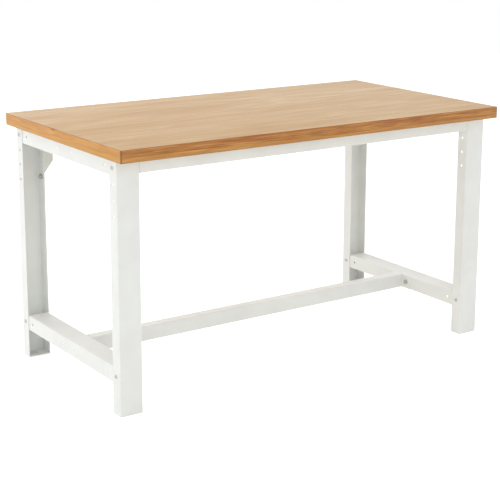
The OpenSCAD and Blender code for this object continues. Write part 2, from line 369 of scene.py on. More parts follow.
@dataclass(frozen=True)
class PlyEdge(Finish):
    """Sanded and oiled edge of a beech multiplex board.

    It gives the eye a brown ground of faint thin plies under long uneven streaks, red-brown and
    yellow, with a dark seam over a paler lower third. Painted shade darkens lines along the arrises,
    painted highlights lie in pale streaks, and painted light makes the short edges paler.

    Attributes:
        ply: Thickness of one ply.
        end_shift: Step in the noise that gives the short edges tones of their own.
        glue_share: Thickness of a glue line, as a share of a ply.
        wobble_mm: How far the plies wave up and down.
        arris_shade_core: Share of an arris, next to the edge, that is fully dark.
        seam_height: Height of the seam, as a share of the board's thickness.
        seam_faint: Strength of the seam outside the lens-shaped patches.
        knot_y: Place of the small knot along the left edge.
        knot_core: Share of the knot that is fully dark.
    """

    name: str = "beech_ply_edge_oiled"
    ground: str = "#bb7731"
    roughness: Pair = (0.45, 0.1)
    relief_mm: float = 0.05
    ply: float = BOARD_HEIGHT / PLIES
    end_grain: Tint = Tint("#b26c28")
    tone: Tint = Tint("#cd964c", 0.3)
    end_shift: float = 40.0
    speckle: Tint = Tint("#81501f", 0.35)
    speckles: Patches = Patches((5, 5, 1.5), (0.45, 0.6), 1.0)
    glue: Tint = Tint("#6d4119", 0.22)
    # Real glue lines are about 0.1 mm thick. They are drawn 0.4 mm thick, so that they show.
    glue_share: float = 0.13
    wave: Patches = Patches((300, 300, 40), (0.3, 0.7), 1.0)
    wobble_mm: float = 1.4
    patch: Tint = Tint("#cd964c", 0.3)
    patched: Patches = Patches((260, 260, 14), (0.44, 0.6))
    lens: Tint = Tint("#a4552b", 0.6)
    lenses: Patches = Patches((210, 210, 11), (0.5, 0.66), 3.0)
    streak: Tint = Tint("#81501f", 0.58)
    streaks: Patches = Patches((80, 80, 5), (0.44, 0.64), 4.0)
    # Painted highlight: pale streaks that stand in for glints of light on the edges
    painted_glint: Tint = Tint("#f0b868", 0.38)
    painted_glints: Patches = Patches((130, 130, 6), (0.52, 0.68), 3.0)
    # The photograph shows the short edges a shade lighter than the long ones.
    # Painted light: the short edges are drawn paler, for the brighter light that falls on them.
    end_painted_light: Tint = Tint("#e0a44c", 0.5)
    # Painted shade: darker lines along the arrises, next to the edges
    face_arris_shade: Tint = Tint("#94602a", 0.6)
    face_arris_shade_mm: float = 2.6
    corner_arris_shade: Tint = Tint("#7a4a1c", 0.85)
    corner_arris_shade_mm: float = 5.0
    arris_shade_core: float = 0.4
    lower: Tint = Tint("#cd964c", 0.4)
    seam: Tint = Tint("#6f4218", 0.8)
    seam_height: float = 0.36
    seam_mm: float = 1.6
    seam_faint: float = 0.45
    wander: Patches = Patches((420, 420, 60), (0.3, 0.7))
    wander_mm: float = 9.0
    knot: Tint = Tint("#7d4a1e", 0.75)
    knot_y: float = 0.04
    knot_depth_mm: float = 3.5
    knot_mm: Triple = (14.0, 17.0, 3.5)
    knot_core: float = 0.4

    def material(self) -> Material:
        """Draws the edges.

        Returns:
            The material.
        """
        surface = Surface(self.name, self.ground)
        add = surface.add
        normal = add("ShaderNodeNewGeometry")["Normal"]
        across = add(SPLIT, (normal,))[0]
        lengthways = add(MATH, (across,), "ABSOLUTE")[0]
        at_end = add(MATH, (lengthways, 0.5), "GREATER_THAN")[0]
        streaks, lenses = surface.drawn(self.streaks), surface.drawn(self.lenses)
        self.lay_plies(surface, at_end)
        surface.lay(self.patch, self.patched)
        surface.lay(self.lens, lenses)
        surface.lay(self.streak, streaks)
        self.lay_seam(surface, lenses)
        # Painted light: paler short edges
        surface.lay(self.end_painted_light, at_end)
        # Painted highlight streaks
        surface.lay(self.painted_glint, self.painted_glints)
        self.lay_knot(surface)
        # Painted shade along the arrises
        self.lay_arris_shade(surface)
        return self.finished(surface, streaks, streaks)

    def lay_plies(self, surface: Surface, at_end: NodeSocket) -> None:
        """Lays the plies, whose grain turns from one to the next, and the glue lines between them.

        Args:
            surface: Surface that gets them.
            at_end: Output that is 1 on the short edges.
        """
        add = surface.add
        height = add(SPLIT, (surface.place,))[2]
        wave = (surface.drawn(self.wave), self.wobble_mm * MM, height)
        lifted = add(MATH, wave, "MULTIPLY_ADD")[0]
        above = add(MATH, (lifted, BOARD_LOW.z), "SUBTRACT")[0]
        layers = add(MATH, (above, self.ply), "DIVIDE")[0]
        layer = add(MATH, (layers,), "FLOOR")[0]
        turns = add(MATH, (layer, at_end), "ADD")[0]
        crossed = add(MATH, (turns, 2.0), "FLOORED_MODULO")[0]
        key = add(MATH, (at_end, self.end_shift, layer), "MULTIPLY_ADD")[0]
        tone = add("ShaderNodeTexWhiteNoise", {"W": key}, noise_dimensions="1D")["Value"]
        rough = add(MATH, (surface.drawn(self.speckles), crossed), "MULTIPLY")[0]
        within = add(MATH, (layers,), "FRACT")[0]
        gap = add(MATH, (within, self.glue_share), "LESS_THAN")[0]
        surface.lay(self.end_grain, crossed)
        surface.lay(self.tone, tone)
        surface.lay(self.speckle, rough)
        surface.lay(self.glue, gap)

    def lay_seam(self, surface: Surface, lenses: NodeSocket) -> None:
        """Lays the wandering dark seam and the paler wood under it.

        Args:
            surface: Surface that gets them.
            lenses: Output with the lens-shaped patches, in which the seam is darker.
        """
        add = surface.add
        height = add(SPLIT, (surface.place,))[2]
        swing = self.wander_mm * MM
        middle = BOARD_LOW.z + self.seam_height * BOARD_HEIGHT
        wander = (surface.drawn(self.wander), swing, middle - swing / 2)
        seam_height = add(MATH, wander, "MULTIPLY_ADD")[0]
        above = add(MATH, (height, seam_height), "SUBTRACT")[0]
        surface.lay(self.lower, add(MATH, (above, 0.0), "LESS_THAN")[0])
        away = add(MATH, (above,), "ABSOLUTE")[0]
        line = add(RANGE, (away, self.seam_mm * MM, 0.0))[0]
        darker = add(MATH, (lenses, 1.0 - self.seam_faint, self.seam_faint), "MULTIPLY_ADD")[0]
        surface.lay(self.seam, add(MATH, (line, darker), "MULTIPLY")[0])

    def lay_knot(self, surface: Surface) -> None:
        """Lays the small knot in the left edge, just under its upper arris.

        Args:
            surface: Surface that gets it.
        """
        add = surface.add
        middle = (BOARD_LOW.x, self.knot_y, BOARD_HIGH.z - self.knot_depth_mm * MM)
        shrink = [1 / (s * MM) for s in self.knot_mm]
        offset = add(VECTOR_MATH, (surface.place, middle), "SUBTRACT")[0]
        scaled = add(VECTOR_MATH, (offset, shrink), "MULTIPLY")[0]
        away = add(VECTOR_MATH, (scaled,), "LENGTH")["Value"]
        surface.lay(self.knot, add(RANGE, (away, 1.0, self.knot_core))[0])

    def lay_arris_shade(self, surface: Surface) -> None:
        """Paints shade along the arrises, as darker lines next to the edges.

        Args:
            surface: Surface that has them.
        """
        add = surface.add
        x, y, height = add(SPLIT, (surface.place,))
        half = BOARD_HEIGHT / 2
        rise = add(MATH, (height, BOARD_LOW.z + half), "SUBTRACT")[0]
        masks = []
        for offset, edge, width_mm in (
            (rise, half, self.face_arris_shade_mm),
            (x, BOARD_HIGH.x, self.corner_arris_shade_mm),
            (y, BOARD_HIGH.y, self.corner_arris_shade_mm),
        ):
            away = add(MATH, (offset,), "ABSOLUTE")[0]
            width = width_mm * MM
            masks.append(add(RANGE, (away, edge - width, edge - self.arris_shade_core * width))[0])
        face_shade_mask, to_end, to_side = masks
        surface.lay(self.face_arris_shade, face_shade_mask)
        surface.lay(self.corner_arris_shade, add(MATH, (to_end, to_side), "MINIMUM")[0])


@dataclass(frozen=True)
class StudioFloor:
    """Matt pale studio floor. Seen directly it is white, apart from the object's shadow."""

    name: str = "studio_floor_matt"
    ground: str = "#f7f7f5"
    lift: float = 0.52

    def material(self) -> Material:
        """Draws the floor.

        Returns:
            The material.
        """
        surface = Surface(self.name, self.ground)
        seen = seen_rays(surface.tree)
        glow = surface.add(MATH, (seen, self.lift), "MULTIPLY")[0]
        matt = {"Base Color": surface.colour, "Roughness": 1.0, "Specular IOR Level": 0.0}
        feed(surface.shader, {**matt, "Emission Color": WHITE, "Emission Strength": glow})
        return surface.material


def add_object(name: str, data: bpy.types.ID) -> Object:
    """Puts a mesh, a camera or a lamp into the scene as an object at the origin.

    Args:
        name: Name of the object.
        data: What it shows.

    Returns:
        The object.
    """
    made = bpy.data.objects.new(name, data)
    bpy.context.scene.collection.objects.link(made)
    return made


def mesh_of(work: BMesh, name: str) -> Mesh:
    """Turns edited geometry into a mesh, and frees it.

    Args:
        work: The geometry.
        name: Name of the mesh.

    Returns:
        The mesh.
    """
    mesh = bpy.data.meshes.new(name)
    work.to_mesh(mesh)
    work.free()
    return mesh


def bridge(work: BMesh, low: list[BMVert], high: list[BMVert], finish: int = 0) -> None:
    """Joins two rings of points by a band of faces, which gets one of the mesh's finishes."""
    for corners in zip(low, low[1:] + low[:1], high[1:] + high[:1], high):
        work.faces.new(corners).material_index = finish


def report(made: Object) -> None:
    """Reports a finished piece."""
    LOG.info("%s: %d faces", made.name, len(made.data.polygons))


def soften(mesh: Mesh, limit: float = 35.0) -> None:
    """Shades a mesh smooth, with sharp edges where faces meet at more than a limit in degrees."""
    mesh.shade_smooth()
    mesh.set_sharp_from_angle(angle=math.radians(limit))


def settled(source: Object, name: str) -> Object:
    """Turns what an object's modifiers make into a plain mesh object, and removes the source.

    Args:
        source: Object with modifiers.
        name: Name of the new object.

    Returns:
        The plain object.
    """
    graph = bpy.context.evaluated_depsgraph_get()
    mesh = bpy.data.meshes.new_from_object(source.evaluated_get(graph), depsgraph=graph)
    bpy.data.objects.remove(source)
    return add_object(name, mesh)


def start_tree(name: str, inputs: dict[str, str]) -> tuple[Adder, NodeOutputs]:
    """Starts a geometry tree.

    Args:
        name: Name of the tree.
        inputs: Kind of each named input, geometry first.

    Returns:
        A function that adds a node to the tree, and the outputs that carry its inputs.
    """
    tree = bpy.data.node_groups.new(name, "GeometryNodeTree")
    for label, kind in inputs.items():
        tree.interface.new_socket(label, in_out="INPUT", socket_type=f"NodeSocket{kind}")
    tree.interface.new_socket("Result", in_out="OUTPUT", socket_type="NodeSocketGeometry")
    return partial(add_node, tree), add_node(tree, "NodeGroupInput")


def end_tree(shape: NodeSocket, finish: NodeSocket) -> NodeTree:
    """Ends a geometry tree: makes instances real and sets the material.

    Args:
        shape: Output with the geometry.
        finish: Output with the material.

    Returns:
        The tree.
    """
    tree = shape.id_data
    real = add_node(tree, "GeometryNodeRealizeInstances", (shape,))[0]
    done = add_node(tree, "GeometryNodeSetMaterial", {"Geometry": real, "Material": finish})[0]
    add_node(tree, "NodeGroupOutput", (done,))
    return tree


def use_tree(target: Object, tree: NodeTree, values: dict[str, object]) -> None:
    """Puts a node tree on an object as a modifier, with its inputs set by their identifiers.

    Args:
        target: Object that gets the modifier.
        tree: Node tree.
        values: Value of each named input.
    """
    modifier = target.modifiers.new(tree.name, "NODES")
    modifier.node_group = tree
    for item in tree.interface.items_tree:
        if item.in_out == "INPUT" and item.name in values:
            modifier[item.identifier] = values[item.name]


def at(size: Size, angle: float) -> float:
    """Gives a size that may change round a turned part, at one angle."""
    return size(angle) if callable(size) else size


def hexagon(flats: float) -> Callable[[float], float]:
    """Gives a hexagon's radius at each angle, from its width across the flats."""
    sixth = math.pi / 3
    return lambda angle: flats / 2 / math.cos((angle + sixth / 2) % sixth - sixth / 2)


def turned(rings: Rings, closed: bool, sides: int = 36) -> Mesh:
    """Builds a closed mesh from rings of points round the Z axis.

    Args:
        rings: Radius and height of each ring. Both may change with the angle.
        closed: Whether the last ring joins the first, as in a nut. Otherwise a point in the middle
            closes each end.
        sides: How many points a ring has.

    Returns:
        The mesh.
    """
    work = bmesh.new()
    angles = [math.tau * i / sides for i in range(sides)]
    loops = [
        [work.verts.new((at(r, a) * math.cos(a), at(r, a) * math.sin(a), at(z, a))) for a in angles]
        for r, z in rings
    ]
    for low, high in zip(loops, loops[1:]):
        bridge(work, low, high)
    if closed:
        bridge(work, loops[-1], loops[0])
    else:
        for loop in (loops[0], loops[-1]):
            pole = work.verts.new((0.0, 0.0, loop[0].co.z))
            for first, second in zip(loop, loop[1:] + loop[:1]):
                work.faces.new((first, second, pole))
    bmesh.ops.recalc_face_normals(work, faces=work.faces)
    return mesh_of(work, "turned")


def steps(start: float, end: float, size: float) -> list[float]:
    """Divides a length into even steps no larger than a size. Both ends are among the values."""
    count = max(1, math.ceil(abs(end - start) / size))
    return [start + (end - start) * i / count for i in range(count + 1)]


class Kind(Enum):
    """Kinds of fastener, by how they sit."""

    BOLT = "bolt"
    NUT = "nut"
    WASHER = "washer"


@dataclass(frozen=True)
class Seat:
    """Where one fastener sits, and its sizes, as the frame has them.

    Attributes:
        place: Middle of the face that it bears with.
        facing: Direction from that face to the end that stands free of it.
        head: Height of the head, the nut or the washer.
        stem: Length of the shank past the bearing face.
        wide: Largest radius.
        narrow: Largest radius at the end away from the widest part.
        bore: Smallest radius.
    """

    place: Vector
    facing: Vector
    head: float
    stem: float
    wide: float
    narrow: float
    bore: float


def solids(node: str) -> list[list[Vector]]:
    """Finds the separate solids of a CAD node.

    Args:
        node: Name of the node.

    Returns:
        The corner points of each solid.
    """
    work = bmesh.new()
    work.from_mesh(frame["nodes"][node].data)
    bmesh.ops.remove_doubles(work, verts=work.verts, dist=1e-6)
    left = set(work.verts)
    found = []
    while left:
        group, edge = set(), [left.pop()]
        while edge:
            vert = edge.pop()
            group.add(vert)
            near = {e.other_vert(vert) for e in vert.link_edges} & left
            left -= near
            edge.extend(near)
        found.append([v.co.copy() for v in group])
    work.free()
    return sorted(found, key=lambda points: [round(c, 5) for c in min(map(tuple, points))])


def measured(points: list[Vector], kind: Kind) -> Seat:
    """Works out where a fastener sits from its corner points.

    Args:
        points: Corner points of the CAD solid.
        kind: Kind of fastener.

    Returns:
        Its seat.
    """
    low, high = (Vector([pick(p[i] for p in points) for i in range(3)]) for pick in (min, max))
    has_stem = kind is Kind.BOLT
    along = max if has_stem else min
    axis = along(range(3), key=lambda i: high[i] - low[i])
    place, facing = (low + high) / 2, Vector()
    first, second = (i for i in range(3) if i != axis)
    radii = [math.hypot(p[first] - place[first], p[second] - place[second]) for p in points]
    wide = max(radii)
    nearly_wide = 0.95 * wide
    wide_at = [p[axis] for p, r in zip(points, radii) if r > nearly_wide]
    wide_is_high = high[axis] - max(wide_at) < min(wide_at) - low[axis]
    wide_end, narrow_end = (high[axis], low[axis]) if wide_is_high else (low[axis], high[axis])
    under_head = min(wide_at) if wide_is_high else max(wide_at)
    narrow = max(r for p, r in zip(points, radii) if abs(p[axis] - narrow_end) < MM)
    bearing, free = (under_head, wide_end) if has_stem else (wide_end, narrow_end)
    place[axis] = bearing
    facing[axis] = 1.0 if free > bearing else -1.0
    stem = abs(narrow_end - bearing) if has_stem else 0.0
    return Seat(place, facing, abs(free - bearing), stem, wide, narrow, min(radii))


@dataclass
class Fastener:
    """Shape of one kind of fastener, with its bearing face at z = 0 and its free end upwards.

    Attributes:
        seat: Its place and sizes.
        pitch: Pitch of its thread.
        ring_share: Distance between two rings of points on the shank, as a share of the pitch.
        groove: Depth of its thread.
        plain: Length under the head that has no thread.
        entry: Length at the tip that has no thread.
        tip: Width of the chamfer at the tip.
        first: Height above the tip's end of the first ring that carries the thread.
        ease: Width of the small chamfers.
        flat_share: Radius of a hexagon's flat top, as a share of its width across the flats.
        chamfer: Slope of a hexagon's turned corners, in degrees.
        kind: How it sits.
    """

    seat: Seat
    pitch: float = 1.25 * MM
    ring_share: float = 0.2
    groove: float = 0.75 * MM
    plain: float = 0.5 * MM
    entry: float = 0.3 * MM
    tip: float = 1.0 * MM
    first: float = 1.2 * MM
    ease: float = 0.3 * MM
    flat_share: float = 0.475
    chamfer: float = 30.0
    kind: ClassVar[Kind] = Kind.BOLT

    def shank(self) -> Rings:
        """Gives the rings of a metric shank.

        Returns:
            The rings, from its tip up to the bearing face.
        """
        radius, end = self.seat.narrow, -self.seat.stem
        rings = [(radius - self.tip, end), (radius, end + self.tip)]
        rings += [(radius, z) for z in steps(end + self.first, 0.0, self.pitch * self.ring_share)]
        return rings

    @staticmethod
    @cache
    def thread() -> NodeTree:
        """Builds the node tree that presses a helical groove into a shank, once for all.

        Returns:
            The tree.
        """
        sizes = dict.fromkeys(("Pitch", "Depth", "Top", "Bottom"), "Float")
        add, given = start_tree("Cut thread", {"Shank": "Geometry", **sizes, "Finish": "Material"})
        x, y, z = add(SPLIT, (add("GeometryNodeInputPosition")[0],))
        angle = add(MATH, (y, x), "ARCTAN2")[0]
        turn = add(MATH, (angle, math.tau), "DIVIDE")[0]
        rise = add(MATH, (z, given["Pitch"]), "DIVIDE")[0]
        turns = add(MATH, (rise, turn), "SUBTRACT")[0]
        # The groove is deepest half-way between two whole turns
        flank = add(MATH, (turns, 0.5), "PINGPONG")[0]
        inward = add(MATH, (flank, -2.0), "MULTIPLY")[0]
        above = add(MATH, (z, given["Bottom"]), "SUBTRACT")[0]
        below = add(MATH, (given["Top"], z), "SUBTRACT")[0]
        nearest = add(MATH, (above, below), "MINIMUM")[0]
        fade = add(MATH, (nearest, given["Pitch"]), "DIVIDE", use_clamp=True)[0]
        share = add(MATH, (inward, fade), "MULTIPLY")[0]
        depth = add(MATH, (share, given["Depth"]), "MULTIPLY")[0]
        flat = add("ShaderNodeCombineXYZ", (x, y))[0]
        outward = add(VECTOR_MATH, (flat,), "NORMALIZE")[0]
        offset = add(VECTOR_MATH, {0: outward, "Scale": depth}, "SCALE")[0]
        moved = {"Geometry": given["Shank"], "Offset": offset}
        return end_tree(add("GeometryNodeSetPosition", moved)[0], given["Finish"])

    def hexagonal(self, corner: float, foot: float) -> Rings:
        """Gives the rings of a hexagon with its top corners turned off.

        Args:
            corner: Radius to the corners.
            foot: Height at which the hexagon begins.

        Returns:
            The rings, from the foot to the flat top.
        """
        flats = 2 * corner * math.cos(math.pi / 6)
        outline, flat = hexagon(flats), self.flat_share * flats
        head, slope = self.seat.head, math.tan(math.radians(self.chamfer))
        return [
            (outline, foot),
            (outline, lambda a: head - (outline(a) - flat) * slope),
            (flat, head),
        ]

    def rings(self) -> Rings:
        """Gives the rings of the whole part. Each kind has its own."""
        raise NotImplementedError

    def build(self, name: str, material: Material) -> Object:
        """Builds the part, threaded if it has a shank.

        Args:
            name: Name of the object.
            material: Finish of the fastener.

        Returns:
            The object.
        """
        hollow = self.seat.stem == 0.0
        made = add_object(name, turned(self.rings(), closed=hollow))
        if not hollow:
            ends = {"Top": -self.plain, "Bottom": self.entry - self.seat.stem}
            sizes = {"Pitch": self.pitch, "Depth": self.groove, **ends, "Finish": material}
            use_tree(made, self.thread(), sizes)
            made = settled(made, name)
        soften(made.data)
        return made


@dataclass
class ButtonBolt(Fastener):
    """Button-head bolt with a hexagon socket, ISO 7380 M8."""

    socket: float = 5.0 * MM
    socket_depth: float = 2.6 * MM
    rim: float = 0.8 * MM
    dome_rings: int = 6

    def rings(self) -> Rings:
        """Gives the rings of the bolt.

        Returns:
            The rings, from the tip over the dome into the socket.
        """
        head, wide = self.seat.head, self.seat.wide
        rise = head - self.rim
        dome = (wide**2 + rise**2) / (2 * rise)
        mouth = self.socket / 2 / math.cos(math.pi / 6) + self.ease
        hexagonal = hexagon(self.socket)
        mouth_z = head - dome + math.sqrt(dome**2 - mouth**2)
        floor = head - self.socket_depth
        rings = self.shank()
        rings += [(wide - self.ease, 0.0), (wide, self.ease), (wide, self.rim)]
        for i in range(1, self.dome_rings + 1):
            radius = wide + (mouth - wide) * i / self.dome_rings
            rings.append((radius, head - dome + math.sqrt(dome**2 - radius**2)))
        rings += [(hexagonal, mouth_z - self.ease), (hexagonal, floor)]
        return rings + [(self.ease, floor - self.ease)]


@dataclass
class HexBolt(Fastener):
    """Hexagon-head bolt or screw, its top corners turned off."""

    def rings(self) -> Rings:
        """Gives the rings from the tip to the chamfered top of the head."""
        return self.shank() + self.hexagonal(self.seat.wide, 0.0)


@dataclass
class WoodScrew(HexBolt):
    """Hexagon-head wood screw with a coarse thread and a pointed tip.

    Attributes:
        radius: Radius over the thread, which the frame's narrowest end doesn't show.
        point: Length of the point.
        blunt: Radius of the very tip.
    """

    pitch: float = 3.2 * MM
    ring_share: float = 0.12
    groove: float = 1.0 * MM
    plain: float = 6.0 * MM
    entry: float = 4.0 * MM
    radius: float = 4.0 * MM
    point: float = 8.0 * MM
    blunt: float = 0.5 * MM

    def shank(self) -> Rings:
        """Gives the rings of the shank.

        Returns:
            The rings, from the point up to the bearing face.
        """
        start, step = -self.seat.stem, self.pitch * self.ring_share
        end = start + self.point
        slope = (self.radius - self.blunt) / self.point
        rings = [(self.blunt + slope * (z - start), z) for z in steps(start, end, step)]
        return rings + [(self.radius, z) for z in steps(end, 0.0, step)[1:]]


@dataclass
class FlangeNut(Fastener):
    """Hexagon nut with a flange, M8.

    Attributes:
        flange: Height of the flange's rim.
        slant: Slope of the flange, in degrees.
        mouth: Width of the chamfers at the ends of the bore.
    """

    flange: float = 1.2 * MM
    slant: float = 15.0
    mouth: float = 0.6 * MM
    kind: ClassVar[Kind] = Kind.NUT

    def rings(self) -> Rings:
        """Gives the rings round the nut's section.

        Returns:
            The rings, from the bearing face up, over and down the bore.
        """
        seat, mouth = self.seat, self.mouth
        head, corner, wide, bore = seat.head, seat.narrow, seat.wide, seat.bore
        shelf = wide - corner * math.cos(math.pi / 6)
        foot = self.flange + shelf * math.tan(math.radians(self.slant))
        rim = [(wide - self.ease, 0.0), (wide, self.ease), (wide, self.flange)]
        inside = [(bore + mouth, head), (bore, head - mouth), (bore, mouth), (bore + mouth, 0.0)]
        return rim + self.hexagonal(corner, foot) + inside


@dataclass
class Washer(Fastener):
    """Flat washer, punched, with one rounded and one sharp side."""

    kind: ClassVar[Kind] = Kind.WASHER

    def rings(self) -> Rings:
        """Gives the rings round the washer's section.

        Returns:
            The rings, from the outer edge to the bore.
        """
        head, wide, bore, ease = self.seat.head, self.seat.wide, self.seat.bore, self.ease
        outer = [(wide, 0.0), (wide, head - ease), (wide - ease, head)]
        return outer + [(bore + ease, head), (bore, head - ease), (bore, 0.0)]


@dataclass
class FastenerSet:
    """All fasteners of one CAD node, placed by a node tree and turned at random on their axes."""

    node: str
    shape: type[Fastener]
    seed: int

    @staticmethod
    @cache
    def tree() -> NodeTree:
        """Builds the node tree that puts a fastener on each point, once for all sets.

        Returns:
            The tree.
        """
        inputs = {"Seats": "Geometry", "Fastener": "Object", "Finish": "Material", "Seed": "Int"}
        add, given = start_tree("Place fasteners", inputs)
        one = add("GeometryNodeObjectInfo", {"Object": given["Fastener"]})["Geometry"]
        named = {"Name": "facing"}
        facing = add("GeometryNodeInputNamedAttribute", named, data_type="FLOAT_VECTOR")[0]
        upright = add("FunctionNodeAlignRotationToVector", {"Vector": facing}, axis="Z")[0]
        seats = {"Points": given["Seats"], "Instance": one, "Rotation": upright}
        placed = add("GeometryNodeInstanceOnPoints", seats)[0]
        # Sockets 2 and 3 take the least and the greatest turn
        span = {2: 0.0, 3: math.tau, "Seed": given["Seed"]}
        turn = add("FunctionNodeRandomValue", span, data_type="FLOAT")[1]
        spin = add("ShaderNodeCombineXYZ", {2: turn})[0]
        turning = {"Instances": placed, "Rotation": spin, "Local Space": True}
        return end_tree(add("GeometryNodeRotateInstances", turning)[0], given["Finish"])

    def build(self, material: Material, slot: str) -> None:
        """Builds the set in place of its CAD node.

        Args:
            material: Finish of the fasteners.
            slot: The record's material slot. Not used.
        """
        seats = [measured(points, self.shape.kind) for points in solids(self.node)]
        one = self.shape(seats[0]).build(f"{self.node}_one", material)
        points = bpy.data.meshes.new(f"{self.node}_seats")
        points.from_pydata([s.place for s in seats], [], [])
        facing = points.attributes.new("facing", "FLOAT_VECTOR", "POINT")
        facing.data.foreach_set("vector", [c for s in seats for c in s.facing])
        spots = add_object(f"{self.node}_spots", points)
        use_tree(spots, self.tree(), {"Fastener": one, "Finish": material, "Seed": self.seed})
        made = settled(spots, f"{self.node}_set")
        bpy.data.objects.remove(one)
        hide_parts(self.node)
        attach(made, "root")
        report(made)


@dataclass
class Worktop:
    """The multiplex board: two veneered faces and four edges with their plies.

    Attributes:
        arris: Radius of the sanded arris along every edge.
        corner: Radius of the upright corners.
        plies: How many plies the board has.
        groove: Depth of the line between two plies.
        spread: Half the width of that line.
        arc: How many steps a quarter turn has.
    """

    arris: float = 1.4 * MM
    corner: float = 2.0 * MM
    plies: int = PLIES
    groove: float = 0.06 * MM
    spread: float = 0.12 * MM
    arc: int = 5

    def outline(self, inset: float) -> list[Pair]:
        """Gives the board's outline, seen from above, drawn in by an inset.

        Args:
            inset: How far it is drawn in.

        Returns:
            The points, anticlockwise.
        """
        radius = self.corner - inset
        points = []
        for quarter, (sx, sy) in enumerate(((1, -1), (1, 1), (-1, 1), (-1, -1))):
            x = sx * (BOARD_HIGH.x - self.corner)
            y = sy * (BOARD_HIGH.y - self.corner)
            for i in range(self.arc + 1):
                angle = math.radians(90) * (quarter - 1 + i / self.arc)
                points.append((x + radius * math.cos(angle), y + radius * math.sin(angle)))
        return points

    def section(self) -> list[Pair]:
        """Gives the section of the board's edge.

        Returns:
            The inset and height of each ring of points, from the bottom face to the top.
        """
        arcs = [math.radians(90) * i / self.arc for i in range(self.arc + 1)]
        rounded = [(self.arris * (1 - math.sin(a)), self.arris * (1 - math.cos(a))) for a in arcs]
        ply = BOARD_HEIGHT / self.plies
        lines = [
            (depth, ply * i + shift)
            for i in range(1, self.plies)
            for depth, shift in ((0.0, -self.spread), (self.groove, 0.0), (0.0, self.spread))
        ]
        return rounded + lines + [(inset, BOARD_HEIGHT - z) for inset, z in reversed(rounded)]

    def build(self, finishes: Sequence[Material], slot: str) -> None:
        """Builds the board in place of its CAD node.

        Args:
            finishes: Finishes of the upper face, of the four edges and of the lower face.
            slot: The record's material slot. Not used.
        """
        work = bmesh.new()
        loops = [
            [work.verts.new((x, y, BOARD_LOW.z + z)) for x, y in self.outline(inset)]
            for inset, z in self.section()
        ]
        for low, high in zip(loops, loops[1:]):
            bridge(work, low, high, EDGE_FINISH)
        work.faces.new(loops[0][::-1]).material_index = LOWER_FINISH
        work.faces.new(loops[-1])
        mesh = mesh_of(work, "worktop_board")
        for finish in finishes:
            mesh.materials.append(finish)
        soften(mesh)
        made = add_object("worktop_board", mesh)
        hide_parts("worktop")
        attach(made, "root")
        report(made)


@dataclass
class SteelFrame:
    """The folded and bolted frame. Its CAD solids stay and get the powder coat."""

    slot: str = STEEL_SLOT

    def build(self, material: Material) -> None:
        """Dresses each sheet-steel node.

        Args:
            material: The powder coat.
        """
        for part in frame["record"]["subparts"]:
            if part["material_slot"] == self.slot:
                shown = frame["nodes"][part["node"]]
                for holder in shown.material_slots:
                    holder.material = material
                report(shown)


